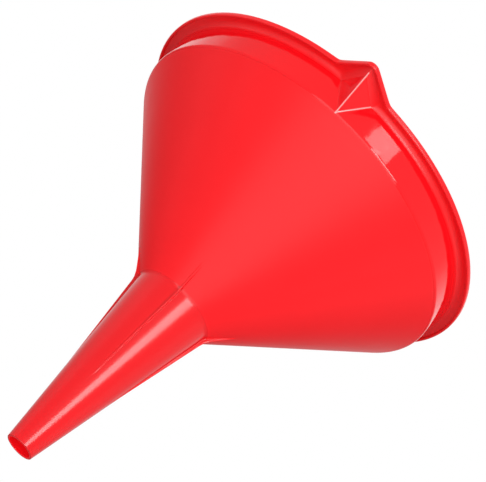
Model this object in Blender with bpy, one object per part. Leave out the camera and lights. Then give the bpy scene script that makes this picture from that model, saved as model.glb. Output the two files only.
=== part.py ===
"""Plastic pouring funnel for fuel and fluids, with a lift-out strainer in its throat.

Frame: metres, +Z up, +X towards the pouring lip, origin at the bottom centre of the
funnel's bounding box. The lip makes the box longer on +X, so the funnel's own axis stands
a little behind the origin, at AXIS_X. Every piece is modelled about its axis and carried
there by an empty. Lengths below are in millimetres and angles in degrees; points are
turned to metres when they are made.
"""

import math
from dataclasses import dataclass
from typing import Callable

import bmesh
import bpy
from mathutils import Vector

MM = 0.001

# ---------------------------------------------------------------- driving dimensions
RIM_RADIUS = 125.0  # outer edge of the turned-down rim
HEIGHT = 252.0  # outlet to the rim's top face
WALL = 1.8  # cone, collar and rim

TIP_RADIUS = 9.2  # nozzle's outside at the outlet
TIP_WALL = 1.5
TIP_CHAMFER = 0.3
THROAT_RADIUS = 26.85  # outside, where the nozzle's line meets the cone's line
THROAT_Z = 125.4
THROAT_FILLET = 4.0

COLLAR_RADIUS = 116.75  # outside of the upright band above the cone
SHOULDER_Z = 228.7  # where the cone's line meets the collar
SHOULDER_FILLET = 2.0
SHOULDER_INSIDE_FILLET = 1.5

SKIRT_HEIGHT = 3.2  # the rim's turned-down edge, from the top face
SKIRT_WALL = 1.8
RIM_TOP_ROUND = 1.0
RIM_FOOT_ROUND = 0.9
RIM_MOUTH_ROUND = 1.2  # top face into the bowl
COLLAR_TOP_FILLET = 3.3  # collar into the rim's underside

LIP_REACH = 143.8  # axis to the tip of the pouring lip
LIP_HALF_ANGLE = 40.3  # between the lip's edge and the lip's centre line
LIP_TIP_ROUND = 5.1
LIP_CORNER_BLEND = 1.1  # softness where the lip's edge leaves the round rim
CREASE_FOOT = (116.0, 227.9)  # radius and height where the lip's centre crease starts
CREASE_REACH = 140.3  # radius at which the crease meets the rim's underside
FACET_CORNER = 6.7  # azimuth at which a facet, the collar and the underside meet
FACET_FOOT = 1.5  # azimuth of the facet's edge at the crease's foot

NOZZLE_HEIGHTS = (40.0, 80.0, 110.0)  # rings of points between the wall's bends
CONE_HEIGHTS = (145.0, 170.0, 200.0)
BORE_HEIGHTS = (45.0, 90.0)

RIB_COUNT = 4  # vent ribs, which let air out past the nozzle
RIB_HEIGHT = 1.9  # greatest, measured level
RIB_WIDTH = 1.5
RIB_SOFTENING = 0.35  # bevel along the rib's crest
RIB_ROOT = 1.2  # depth that a rib's plate reaches into the wall
RIB_END_SINK = 0.15  # depth of the crest's two ends below the surface
RIB_LOW_Z = 48.0
RIB_KNEE_LOW_Z = 123.0
RIB_KNEE_HIGH_Z = 128.0
RIB_HIGH_Z = 142.0

STRAINER_Z = 140.0  # underside of the strainer's ring
STRAINER_HEIGHT = 10.0
SEAT_GAP = 0.4  # between the strainer and the cone, measured level
FIT_GAP = 0.3  # between the strainer's own pieces
LEDGE_THICKNESS = 2.0
LEDGE_INNER = 32.6
POCKET_RADIUS = 36.6
POCKET_TOP_Z = 146.8
RING_TOP_WIDTH = 1.8
SNAP_BEAD = 0.45  # how far the bead over the clip ring stands in from the pocket's wall
SPOKE_WIDTH = 2.2
SPOKE_HEIGHT = 2.4
SPOKE_DROP = 0.2  # spokes' top below the ledge
SPOKE_ROOT = 1.5  # length of a spoke's end inside the ring
SPOKE_STEP = 0.05  # one spoke lies this much lower, so that their faces don't coincide
HUB_RADIUS = 5.5
HUB_HEIGHT = 3.0
POST_RADIUS = 2.6
KNOB_RADIUS = 6.0
KNOB_HEIGHT = 4.0
KNOB_ROUND = 1.2
PULL_HEIGHT = 24.0  # ledge to the top of the knob
GAUZE_THICKNESS = 0.5
GAUZE_HOLE = 3.0
CLIP_HEIGHT = 2.6
CLIP_CHAMFER = 0.5

# ---------------------------------------------------------------- mesh fineness
LIP_STATIONS = (0.06, 0.12, 0.18, 0.45, 0.72, 1.0)  # shares of the way to the lip's edge
SIDE_STEPS = 17  # from the lip's edge to a quarter turn
BACK_STEPS = 18  # in each of the two back quarters
TURNED_STEPS = 64
LIP_ZONE = 28.0  # azimuth beyond which the lip no longer shapes the rim


def clear_scene():
    for found in list(bpy.data.objects):
        bpy.data.objects.remove(found)


def make_material(name, colour, roughness, metallic=0.0):
    material = bpy.data.materials.new(name)
    material.use_nodes = True
    shader = material.node_tree.nodes["Principled BSDF"]
    shader.inputs["Base Color"].default_value = (*colour, 1.0)
    shader.inputs["Roughness"].default_value = roughness
    shader.inputs["Metallic"].default_value = metallic
    return material


def make_object(name, shape, material):
    """Turns a finished bmesh into a smooth-shaded object in the scene."""
    bmesh.ops.recalc_face_normals(shape, faces=shape.faces)
    mesh = bpy.data.meshes.new(name)
    shape.to_mesh(mesh)
    shape.free()
    mesh.materials.append(material)
    mesh.shade_smooth()
    mesh.set_sharp_from_angle(angle=math.radians(30))
    obj = bpy.data.objects.new(name, mesh)
    bpy.context.scene.collection.objects.link(obj)
    return obj


def join(target, *helpers):
    """Boolean unions of helper solids into one body."""
    for helper in helpers:
        helper.parent = target
        helper.hide_render = True
        helper.display_type = "WIRE"
        modifier = target.modifiers.new("join_" + helper.name, "BOOLEAN")
        modifier.operation = "UNION"
        modifier.solver = "EXACT"
        modifier.object = helper


# ---------------------------------------------------------------- plane outlines
def fillet(before, corner, after, radius, steps):
    """The arc that rounds a corner between two straight runs, both ends included."""
    corner = Vector(corner)
    back = (Vector(before) - corner).normalized()
    ahead = (Vector(after) - corner).normalized()
    half = back.angle(ahead) / 2
    centre = corner + (back + ahead).normalized() * (radius / math.sin(half))
    first = corner + back * (radius / math.tan(half)) - centre
    last = corner + ahead * (radius / math.tan(half)) - centre
    start = math.atan2(first.y, first.x)
    sweep = -first.angle_signed(last)
    found = []
    for i in range(steps + 1):
        turn = start + sweep * i / steps
        found.append((centre.x + radius * math.cos(turn), centre.y + radius * math.sin(turn)))
    return found


# ---------------------------------------------------------------- the funnel's turned shape
CONE_SLOPE = (COLLAR_RADIUS - THROAT_RADIUS) / (SHOULDER_Z - THROAT_Z)  # radius per height
NOZZLE_SLOPE = (THROAT_RADIUS - TIP_RADIUS) / THROAT_Z
CONE_WALL = WALL * math.hypot(1.0, CONE_SLOPE)  # the cone's wall, measured level
INNER_THROAT_Z = THROAT_Z + (CONE_WALL - WALL) / (CONE_SLOPE - NOZZLE_SLOPE)
UNDERSIDE_Z = HEIGHT - WALL
SKIRT_FOOT_Z = HEIGHT - SKIRT_HEIGHT


def nozzle_radius(z):
    return TIP_RADIUS + NOZZLE_SLOPE * z


def nozzle_bore(z):
    return nozzle_radius(z) - TIP_WALL - (WALL - TIP_WALL) * z / THROAT_Z


def cone_radius(z):
    return THROAT_RADIUS + CONE_SLOPE * (z - THROAT_Z)


def cone_bore(z):
    return cone_radius(z) - CONE_WALL


# ---------------------------------------------------------------- the pouring lip
def facet_plane():
    """Unit normal and offset of the lip's facet: crease foot, crease top, upper corner."""
    turn = math.radians(FACET_CORNER)
    foot = Vector((CREASE_FOOT[0], 0.0, CREASE_FOOT[1]))
    top = Vector((CREASE_REACH, 0.0, UNDERSIDE_Z))
    corner = Vector((COLLAR_RADIUS * math.cos(turn), COLLAR_RADIUS * math.sin(turn), UNDERSIDE_Z))
    normal = (corner - foot).cross(top - foot).normalized()
    return normal, normal.dot(foot)


FACET_NORMAL, FACET_OFFSET = facet_plane()
LIP_ACROSS = Vector((math.sin(math.radians(LIP_HALF_ANGLE)), math.cos(math.radians(LIP_HALF_ANGLE))))
LIP_EDGE_OFFSET = (LIP_REACH - LIP_TIP_ROUND) * LIP_ACROSS.x + LIP_TIP_ROUND  # axis to the edge's line
RIM_KNEE = math.degrees(math.asin(LIP_EDGE_OFFSET / RIM_RADIUS)) - LIP_HALF_ANGLE


def facet_radius(azimuth, z, inset):
    """Distance from the axis to the lip's facet, set in by a wall thickness."""
    turn = math.radians(abs(azimuth))
    towards = FACET_NORMAL.x * math.cos(turn) + FACET_NORMAL.y * math.sin(turn)
    return (FACET_OFFSET - inset - FACET_NORMAL.z * z) / towards


def facet_edge(radius, z, inset):
    """Azimuth at which the facet meets a round wall at this height."""
    low = 0.0
    high = 2 * FACET_CORNER
    while high - low > 0.001:
        middle = (low + high) / 2
        if facet_radius(middle, z, inset) > radius:
            low = middle
        else:
            high = middle
    return low


def lip_edge_radius(azimuth, inset):
    """Distance from the axis to the lip's straight edge, or to the round at its tip."""
    turn = math.radians(abs(azimuth))
    centre = LIP_REACH - LIP_TIP_ROUND
    radius = LIP_TIP_ROUND - inset
    tangent = math.atan2(radius * LIP_ACROSS.y, centre + radius * LIP_ACROSS.x)
    if turn < tangent:
        return centre * math.cos(turn) + math.sqrt(radius**2 - (centre * math.sin(turn)) ** 2)
    return (LIP_EDGE_OFFSET - inset) / (LIP_ACROSS.x * math.cos(turn) + LIP_ACROSS.y * math.sin(turn))


def rim_outline(azimuth, inset):
    """The rim's plan shape, set in from its outer edge: a circle that swells into the lip."""
    circle = RIM_RADIUS - inset
    if abs(azimuth) > LIP_ZONE:
        return circle
    lip = lip_edge_radius(azimuth, inset)
    return (circle + lip + math.hypot(circle - lip, LIP_CORNER_BLEND)) / 2


AXIS_X = (RIM_RADIUS - rim_outline(0.0, 0.0)) / 2  # puts the origin midway between back and lip


# ---------------------------------------------------------------- rings of the funnel's wall
@dataclass
class Ring:
    """One loop of the wall around the axis: its height, its plan shape and its lip's edge."""

    z: float
    outline: Callable[[float], float]
    knee: float


def round_ring(radius, z):
    return Ring(z, lambda azimuth: radius, FACET_CORNER)


def collar_ring(radius, z, inset):
    """A round ring that swells where the lip's facets stand proud of it."""

    def outline(azimuth):
        if abs(azimuth) > LIP_ZONE:
            return radius
        return max(radius, facet_radius(azimuth, z, inset))

    return Ring(z, outline, max(FACET_FOOT, facet_edge(radius, z, inset)))


def rim_ring(inset, z):
    return Ring(z, lambda azimuth: rim_outline(azimuth, inset), RIM_KNEE)


def between(first, second, share, z):
    """A ring part of the way from one ring's plan shape to another's."""

    def outline(azimuth):
        return first.outline(azimuth) * (1 - share) + second.outline(azimuth) * share

    return Ring(z, outline, first.knee * (1 - share) + second.knee * share)


def outer_wall_rings():
    """Outlet to the collar's top, on the outside."""
    outlet = (TIP_RADIUS, 0.0)
    throat = (THROAT_RADIUS, THROAT_Z)
    shoulder = (COLLAR_RADIUS, SHOULDER_Z)
    above = (COLLAR_RADIUS, UNDERSIDE_Z)
    rings = [round_ring(TIP_RADIUS - TIP_CHAMFER, 0.0)]
    rings += [round_ring(nozzle_radius(z), z) for z in (TIP_CHAMFER, *NOZZLE_HEIGHTS)]
    rings += [round_ring(r, z) for r, z in fillet(outlet, throat, shoulder, THROAT_FILLET, 3)]
    rings += [round_ring(cone_radius(z), z) for z in CONE_HEIGHTS]
    rings += [collar_ring(r, z, 0.0) for r, z in fillet(throat, shoulder, above, SHOULDER_FILLET, 4)]
    foot = rings[-1].z
    top = UNDERSIDE_Z - COLLAR_TOP_FILLET
    rings += [collar_ring(COLLAR_RADIUS, foot + (top - foot) * i / 4, 0.0) for i in range(1, 5)]
    return rings


def rim_rings():
    """Underside of the rim, round its turned-down skirt, and back over its top face."""
    skirt_inside = rim_ring(SKIRT_WALL, UNDERSIDE_Z)
    share = COLLAR_TOP_FILLET / (RIM_RADIUS - SKIRT_WALL - COLLAR_RADIUS)
    rings = []
    for turn in (30, 60, 90):
        out = share * (1 - math.cos(math.radians(turn)))
        z = UNDERSIDE_Z - COLLAR_TOP_FILLET * (1 - math.sin(math.radians(turn)))
        rings.append(between(collar_ring(COLLAR_RADIUS, z, 0.0), skirt_inside, out, z))
    rings.append(skirt_inside)
    rings.append(rim_ring(SKIRT_WALL, SKIRT_FOOT_Z + RIM_FOOT_ROUND / 2))
    rings.append(rim_ring(SKIRT_WALL - RIM_FOOT_ROUND / 2, SKIRT_FOOT_Z))
    for turn in (0, 45, 90):
        inset = RIM_FOOT_ROUND * (1 - math.sin(math.radians(turn)))
        rise = RIM_FOOT_ROUND * (1 - math.cos(math.radians(turn)))
        rings.append(rim_ring(inset, SKIRT_FOOT_Z + rise))
    for turn in (0, 45, 90):
        inset = RIM_TOP_ROUND * (1 - math.cos(math.radians(turn)))
        drop = RIM_TOP_ROUND * (1 - math.sin(math.radians(turn)))
        rings.append(rim_ring(inset, HEIGHT - drop))
    mouth = collar_ring(COLLAR_RADIUS - WALL, HEIGHT, WALL)
    flat = RIM_RADIUS - RIM_TOP_ROUND - COLLAR_RADIUS + WALL
    rings.append(between(rings[-1], mouth, 1 - RIM_MOUTH_ROUND / flat, HEIGHT))
    rings.append(collar_ring(COLLAR_RADIUS - WALL, HEIGHT - RIM_MOUTH_ROUND, WALL))
    return rings


def inner_wall_rings():
    """The mouth down to the outlet, on the inside."""
    bore = COLLAR_RADIUS - WALL
    start = HEIGHT - RIM_MOUTH_ROUND
    mouth = (bore, start)
    shoulder = (bore, THROAT_Z + (bore - THROAT_RADIUS + CONE_WALL) / CONE_SLOPE)
    throat = (cone_bore(INNER_THROAT_Z), INNER_THROAT_Z)
    outlet = (nozzle_bore(0.0), 0.0)
    bend = fillet(mouth, shoulder, throat, SHOULDER_INSIDE_FILLET, 3)
    rings = [collar_ring(bore, start + (bend[0][1] - start) * i / 4, WALL) for i in range(1, 4)]
    rings += [collar_ring(r, z, WALL) for r, z in bend]
    rings += [round_ring(cone_bore(z), z) for z in reversed(CONE_HEIGHTS)]
    rings += [round_ring(r, z) for r, z in fillet(shoulder, throat, outlet, THROAT_FILLET + WALL, 2)]
    rings += [round_ring(nozzle_bore(z), z) for z in (*reversed(BORE_HEIGHTS), 0.0)]
    return rings


def ring_points(ring):
    """The ring's points in order round the axis, starting at the lip's centre."""
    half = [0.0]
    half += [ring.knee * share for share in LIP_STATIONS]
    half += [ring.knee + (90.0 - ring.knee) * i / SIDE_STEPS for i in range(1, SIDE_STEPS + 1)]
    half += [90.0 + 90.0 * i / BACK_STEPS for i in range(1, BACK_STEPS + 1)]
    azimuths = half + [-azimuth for azimuth in reversed(half[1:-1])]
    points = []
    for azimuth in azimuths:
        radius = ring.outline(azimuth)
        turn = math.radians(azimuth)
        points.append(Vector((radius * math.cos(turn), radius * math.sin(turn), ring.z)) * MM)
    return points


def vent_rib(index, material):
    """A thin plate in the corner between nozzle and cone, running out along both."""
    outline = [
        (nozzle_radius(RIB_LOW_Z) - RIB_END_SINK, RIB_LOW_Z),
        (nozzle_radius(RIB_KNEE_LOW_Z) + RIB_HEIGHT, RIB_KNEE_LOW_Z),
        (cone_radius(RIB_KNEE_HIGH_Z) + RIB_HEIGHT, RIB_KNEE_HIGH_Z),
        (cone_radius(RIB_HIGH_Z) - RIB_END_SINK, RIB_HIGH_Z),
        (cone_radius(RIB_HIGH_Z) - RIB_ROOT, RIB_HIGH_Z),
        (THROAT_RADIUS - RIB_ROOT, THROAT_Z),
        (nozzle_radius(RIB_LOW_Z) - RIB_ROOT, RIB_LOW_Z),
    ]
    shape = bmesh.new()
    side = [shape.verts.new(Vector((r, -RIB_WIDTH / 2, z)) * MM) for r, z in outline]
    face = shape.faces.new(side)
    raised = bmesh.ops.extrude_face_region(shape, geom=[face])["geom"]
    moved = [found for found in raised if isinstance(found, bmesh.types.BMVert)]
    bmesh.ops.translate(shape, vec=(0, RIB_WIDTH * MM, 0), verts=moved)
    bmesh.ops.recalc_face_normals(shape, faces=shape.faces)
    lengthwise = []
    for edge in shape.edges:
        start, end = edge.verts
        if abs(start.co.y - end.co.y) < RIB_WIDTH * MM / 2:
            lengthwise.append(edge)
    bmesh.ops.bevel(shape, geom=lengthwise, offset=RIB_SOFTENING * MM, segments=2, affect="EDGES")
    rib = make_object("vent_rib_%d" % index, shape, material)
    rib.rotation_euler.z = math.tau * index / RIB_COUNT
    return rib


def funnel_body(material):
    """The whole moulding: rings up the outside, over the rim and down the inside, plus ribs."""
    shape = bmesh.new()
    loops = []
    for ring in outer_wall_rings() + rim_rings() + inner_wall_rings():
        loops.append([shape.verts.new(point) for point in ring_points(ring)])
    for lower, upper in zip(loops, loops[1:] + loops[:1]):
        for i in range(len(lower)):
            j = (i + 1) % len(lower)
            shape.faces.new((lower[i], lower[j], upper[j], upper[i]))
    body = make_object("funnel_body", shape, material)
    join(body, *[vent_rib(index, material) for index in range(RIB_COUNT)])
    return body


# ---------------------------------------------------------------- the strainer
LEDGE_Z = STRAINER_Z + LEDGE_THICKNESS
GAUZE_Z = LEDGE_Z + FIT_GAP
CLIP_Z = GAUZE_Z + GAUZE_THICKNESS + FIT_GAP
CLIP_TOP_Z = CLIP_Z + CLIP_HEIGHT
CLIP_RADIUS = POCKET_RADIUS - FIT_GAP


def turned(name, section, material):
    """A section of (radius, height) points spun round the axis. A section that starts and
    ends on the axis stays open there; any other is closed."""
    shape = bmesh.new()
    verts = [shape.verts.new(Vector((r, 0.0, z)) * MM) for r, z in section]
    pairs = list(zip(verts, verts[1:]))
    if section[0][0] > 0:
        pairs.append((verts[-1], verts[0]))
    edges = [shape.edges.new(pair) for pair in pairs]
    bmesh.ops.spin(
        shape,
        geom=verts + edges,
        axis=(0, 0, 1),
        cent=(0, 0, 0),
        steps=TURNED_STEPS,
        angle=math.tau,
        use_merge=True,
    )
    bmesh.ops.remove_doubles(shape, verts=shape.verts, dist=1e-6)
    return make_object(name, shape, material)


def spoke(name, turn, drop, material):
    """A straight bar across the strainer's ring, from ledge to ledge."""
    shape = bmesh.new()
    bmesh.ops.create_cube(shape, size=1.0)
    length = 2 * (LEDGE_INNER + SPOKE_ROOT)
    bmesh.ops.scale(shape, vec=(length * MM, SPOKE_WIDTH * MM, SPOKE_HEIGHT * MM), verts=shape.verts)
    bar = make_object(name, shape, material)
    bar.location.z = (LEDGE_Z - drop - SPOKE_HEIGHT / 2) * MM
    bar.rotation_euler.z = math.radians(turn)
    return bar


def strainer_frame(material):
    """Ring that wedges in the cone, a cross of spokes, and the post and knob it's lifted by."""
    top = STRAINER_Z + STRAINER_HEIGHT
    outer = cone_bore(top) - SEAT_GAP
    bead_z = CLIP_TOP_Z + FIT_GAP
    ring_section = [
        (LEDGE_INNER, STRAINER_Z),
        (cone_bore(STRAINER_Z) - SEAT_GAP, STRAINER_Z),
        (outer, top),
        (outer - RING_TOP_WIDTH, top),
        (POCKET_RADIUS, POCKET_TOP_Z),
        (POCKET_RADIUS - SNAP_BEAD, bead_z + SNAP_BEAD),
        (POCKET_RADIUS, bead_z),
        (POCKET_RADIUS, LEDGE_Z),
        (LEDGE_INNER, LEDGE_Z),
    ]
    knob_top = LEDGE_Z + PULL_HEIGHT
    knob_foot = knob_top - KNOB_HEIGHT
    post_section = [
        (0.0, LEDGE_Z - HUB_HEIGHT),
        (HUB_RADIUS, LEDGE_Z - HUB_HEIGHT),
        (HUB_RADIUS, LEDGE_Z),
        (POST_RADIUS, LEDGE_Z),
        (POST_RADIUS, knob_foot - KNOB_ROUND),
        (KNOB_RADIUS, knob_foot),
        (KNOB_RADIUS, knob_top - KNOB_ROUND),
        (KNOB_RADIUS - KNOB_ROUND, knob_top),
        (0.0, knob_top),
    ]
    frame = turned("strainer_frame", ring_section, material)
    post = turned("pull_post", post_section, material)
    bars = [
        spoke("spoke_x", 0.0, SPOKE_DROP, material),
        spoke("spoke_y", 90.0, SPOKE_DROP + SPOKE_STEP, material),
    ]
    join(frame, *bars, post)
    return frame


def strainer_gauze(material):
    """Plain disc that stands for the woven wire, with a hole for the post."""
    section = [
        (GAUZE_HOLE, GAUZE_Z),
        (CLIP_RADIUS, GAUZE_Z),
        (CLIP_RADIUS, GAUZE_Z + GAUZE_THICKNESS),
        (GAUZE_HOLE, GAUZE_Z + GAUZE_THICKNESS),
    ]
    return turned("strainer_gauze", section, material)


def strainer_clip_ring(material):
    """Ring that snaps in under the frame's bead and traps the gauze's edge."""
    section = [
        (LEDGE_INNER, CLIP_Z),
        (CLIP_RADIUS - CLIP_CHAMFER, CLIP_Z),
        (CLIP_RADIUS, CLIP_Z + CLIP_CHAMFER),
        (CLIP_RADIUS, CLIP_TOP_Z),
        (LEDGE_INNER + CLIP_CHAMFER, CLIP_TOP_Z),
        (LEDGE_INNER, CLIP_TOP_Z - CLIP_CHAMFER),
    ]
    return turned("strainer_clip_ring", section, material)


def stand_on_axis(name, pieces):
    """An empty on the funnel's axis that carries pieces which stay together."""
    empty = bpy.data.objects.new(name, None)
    empty.location.x = AXIS_X * MM
    bpy.context.scene.collection.objects.link(empty)
    for piece in pieces:
        piece.parent = empty


def main():
    clear_scene()
    red = make_material("red_plastic", (0.85, 0.02, 0.03), 0.35)
    black = make_material("black_plastic", (0.02, 0.02, 0.022), 0.4)
    brass = make_material("brass_wire", (0.72, 0.52, 0.2), 0.35, metallic=1.0)
    stand_on_axis("funnel_axis", [funnel_body(red)])
    strainer = [strainer_frame(black), strainer_gauze(brass), strainer_clip_ring(black)]
    stand_on_axis("strainer_axis", strainer)


main()
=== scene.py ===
"""Looks of the pouring funnel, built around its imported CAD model.

Frame: metres, +Z up, +X towards the pouring lip, origin at the bottom centre of the
bounding box. Shapes are worked out in millimetres from the funnel's own axis, which
stands at AXIS_X, with its height measured from the nozzle's outlet.
"""

import math
from dataclasses import dataclass
from typing import Callable

import bmesh
import bpy
from mathutils import Matrix, Vector


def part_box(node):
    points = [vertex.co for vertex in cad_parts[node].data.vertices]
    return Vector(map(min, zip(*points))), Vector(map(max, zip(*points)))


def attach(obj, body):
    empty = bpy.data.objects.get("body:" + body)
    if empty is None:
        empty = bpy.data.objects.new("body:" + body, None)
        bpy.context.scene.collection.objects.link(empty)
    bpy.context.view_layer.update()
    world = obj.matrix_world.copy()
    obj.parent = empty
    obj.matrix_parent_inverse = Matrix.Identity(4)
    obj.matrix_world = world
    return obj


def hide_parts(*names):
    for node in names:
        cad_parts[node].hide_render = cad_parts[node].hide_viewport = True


MM = 0.001

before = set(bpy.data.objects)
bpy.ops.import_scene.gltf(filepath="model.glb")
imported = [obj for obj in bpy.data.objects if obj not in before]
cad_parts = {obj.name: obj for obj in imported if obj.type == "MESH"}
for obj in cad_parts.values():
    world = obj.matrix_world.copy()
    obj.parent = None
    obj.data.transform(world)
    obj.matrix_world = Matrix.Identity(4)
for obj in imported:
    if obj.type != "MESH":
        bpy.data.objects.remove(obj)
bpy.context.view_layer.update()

# ---------------------------------------------------------------- sizes read from the CAD
BODY_LOW, BODY_HIGH = (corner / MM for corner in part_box("funnel_body"))
GAUZE_LOW, GAUZE_HIGH = (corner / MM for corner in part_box("strainer_gauze"))
CLIP_LOW, CLIP_HIGH = (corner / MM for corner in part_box("strainer_clip_ring"))
STRAINER_LOW, STRAINER_HIGH = (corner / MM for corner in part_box("strainer_frame"))

AXIS_X = (GAUZE_LOW.x + GAUZE_HIGH.x) / 2
HEIGHT = BODY_HIGH.z
RIM_RADIUS = AXIS_X - BODY_LOW.x
LIP_TIP = BODY_HIGH.x - AXIS_X

# ---------------------------------------------------------------- the funnel's dimensions
# Lengths are in millimetres and angles in degrees, unless a comment says otherwise.
WALL = 1.8
TIP_RADIUS = 9.2
TIP_WALL = 1.5
TIP_ROUND = 0.3
THROAT_RADIUS = 26.85
THROAT_Z = 125.4
THROAT_FILLET = 4.0
COLLAR_RADIUS = 116.75
SHOULDER_Z = 228.7
SHOULDER_FILLET = 2.0
SHOULDER_INSIDE_FILLET = 1.5
SKIRT_HEIGHT = 3.2
SKIRT_WALL = 1.8
RIM_TOP_ROUND = 1.0
RIM_FOOT_ROUND = 0.9
RIM_MOUTH_ROUND = 1.2
COLLAR_TOP_FILLET = 3.3

LIP_HALF_ANGLE = 40.3
LIP_TIP_ROUND = 5.1
LIP_CORNER_BLEND = 1.1
LIP_REACH = LIP_TIP - LIP_CORNER_BLEND**2 / (4 * (LIP_TIP - RIM_RADIUS))
CREASE_FOOT = (116.0, 227.9)  # distance from the axis, and height
CREASE_REACH = 140.3
CREASE_SOFTNESS = 0.2  # azimuth over which the lip's crease is rounded
FACET_CORNER = 6.7  # azimuth at which a facet's upper corner meets the collar
FACET_FOOT = 1.5  # azimuth over which stations are kept close at the facet's foot
FACET_SOFTNESS = 0.8  # length over which a facet runs into the collar
FACET_START_Z = 227.0
FACET_FULL_Z = 231.0
LIP_ZONE = 28.0  # azimuth beyond which the lip has no effect

RIB_HEIGHT = 1.9
RIB_HALF_WIDTH = 0.75
RIB_CREST_HALF = 0.4  # half width of the rib's level top
RIB_FOOT_HALF = 0.9  # half width at the rib's foot, over its small fillet
RIB_END_SINK = 0.15
RIB_LOW_Z = 48.0
RIB_KNEE_LOW_Z = 123.0
RIB_KNEE_HIGH_Z = 128.0
RIB_HIGH_Z = 142.0

# ---------------------------------------------------------------- the strainer's dimensions
STRAINER_HEIGHT = 10.0
LEDGE_THICKNESS = 2.0
LEDGE_INNER = 32.6
POCKET_RADIUS = 36.6
POCKET_TOP = 6.8  # above the strainer's underside
RING_TOP_WIDTH = 1.8
SEAT_GAP = 0.4
FIT_GAP = 0.3
SNAP_BEAD = 0.45
SPOKE_WIDTH = 2.2
SPOKE_HEIGHT = 2.4
SPOKE_DROP = 0.2
SPOKE_ROOT = 1.5
SPOKE_STEP = 0.05
SPOKE_SOFTENING = 0.35
HUB_RADIUS = 5.5
HUB_HEIGHT = 3.0
POST_RADIUS = 2.6
KNOB_RADIUS = 6.0
KNOB_HEIGHT = 4.0
KNOB_ROUND = 1.2
CORNER_ROUND = 0.3
CLIP_CHAMFER = 0.5
GAUZE_HOLE = 3.0
WIRE_RADIUS = 0.17
WIRE_PITCH = 1.5
WIRE_SIDES = 6

# ---------------------------------------------------------------- mesh fineness
NEAR_SHARES = (
    [0.0, 0.015, 0.03, 0.05, 0.065, 0.08, 0.1, 0.13, 0.2, 0.32, 0.48, 0.64, 0.76]
    + [0.85, 0.91, 0.95, 0.98, 1.0, 1.03, 1.07, 1.12, 1.2, 1.35]
)
OPEN_STEPS = 56  # stations between two quarter marks
OPEN_EASE = 0.8  # how much finer they are at the ends than in the middle
GUARD = 0.4  # millimetres from a fillet's end to the first ring on a straight run
ARC_STEPS = 8
EDGE_STEPS = 4  # round of the outlet's edge and of the skirt's foot
TOP_STEPS = 5  # round of the rim's top edge and of its mouth
NOZZLE_STEPS = 36
CONE_STEPS = 12  # below the ribs' upper end, and again above it
COLLAR_STEPS = 14
INNER_COLLAR_STEPS = 12
INNER_CONE_STEPS = 14
BORE_STEPS = 12
UNDERSIDE_PARTS = (0.08, 0.35, 0.65, 0.92, 1.0)
TOP_FACE_PARTS = (0.06, 0.3, 0.6, 0.94)
TURNED_STEPS = 144
ROUND_STEPS = 3
ROUND_ROOM = 0.45  # share of the shorter neighbour that a rounded corner may take
POST_STEPS = 5
WIRE_STEPS = 4  # stations on a wire for each pitch
POLE_MERGE = 1e-6  # metres
SHARP_ANGLE = 50.0
EDGE_TOLERANCE = 0.001  # degrees


# ---------------------------------------------------------------- helpers
def ease(value):
    """0 below 0, 1 above 1, and a smooth rise in between."""
    value = min(1.0, max(0.0, value))
    return value * value * (3 - 2 * value)


def lerp(start, end, share):
    return start + (end - start) * share


def soft_max(first, second, softness):
    return (first + second + math.hypot(first - second, softness)) / 2


def fillet(before, corner, after, radius, steps):
    """The arc that rounds a corner between two straight runs, both ends included."""
    corner = Vector(corner)
    back = (Vector(before) - corner).normalized()
    ahead = (Vector(after) - corner).normalized()
    half = back.angle(ahead) / 2
    centre = corner + (back + ahead).normalized() * (radius / math.sin(half))
    first = corner + back * (radius / math.tan(half)) - centre
    last = corner + ahead * (radius / math.tan(half)) - centre
    start = math.atan2(first.y, first.x)
    sweep = -first.angle_signed(last)
    found = []
    for i in range(steps + 1):
        turn = start + sweep * i / steps
        found.append((centre.x + radius * math.cos(turn), centre.y + radius * math.sin(turn)))
    return found


def run(start, end, count):
    """Points strictly between two ends of a straight run, with one close to each end."""
    length = math.dist(start, end)
    shares = [GUARD / length]
    shares += [i / count for i in range(1, count)]
    shares.append(1 - GUARD / length)
    return [(lerp(start[0], end[0], share), lerp(start[1], end[1], share)) for share in shares]


def quarter_arc(count):
    """Sine and cosine at even turns from 0 to 90 degrees."""
    turns = [math.pi / 2 * i / count for i in range(count + 1)]
    return [(math.sin(turn), math.cos(turn)) for turn in turns]


# ---------------------------------------------------------------- the turned shape
CONE_SLOPE = (COLLAR_RADIUS - THROAT_RADIUS) / (SHOULDER_Z - THROAT_Z)
NOZZLE_SLOPE = (THROAT_RADIUS - TIP_RADIUS) / THROAT_Z
CONE_WALL = WALL * math.hypot(1.0, CONE_SLOPE)
INNER_THROAT_Z = THROAT_Z + (CONE_WALL - WALL) / (CONE_SLOPE - NOZZLE_SLOPE)
UNDERSIDE_Z = HEIGHT - WALL
SKIRT_FOOT_Z = HEIGHT - SKIRT_HEIGHT


def nozzle_radius(z):
    return TIP_RADIUS + NOZZLE_SLOPE * z


def nozzle_bore(z):
    return nozzle_radius(z) - TIP_WALL - (WALL - TIP_WALL) * z / THROAT_Z


def cone_radius(z):
    return THROAT_RADIUS + CONE_SLOPE * (z - THROAT_Z)


def cone_bore(z):
    return cone_radius(z) - CONE_WALL


# ---------------------------------------------------------------- the pouring lip
def facet_plane():
    """Unit normal and offset of the lip's facet: crease foot, crease top, upper corner."""
    turn = math.radians(FACET_CORNER)
    foot = Vector((CREASE_FOOT[0], 0.0, CREASE_FOOT[1]))
    top = Vector((CREASE_REACH, 0.0, UNDERSIDE_Z))
    corner = Vector((COLLAR_RADIUS * math.cos(turn), COLLAR_RADIUS * math.sin(turn), UNDERSIDE_Z))
    normal = (corner - foot).cross(top - foot).normalized()
    return normal, normal.dot(foot)


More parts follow.
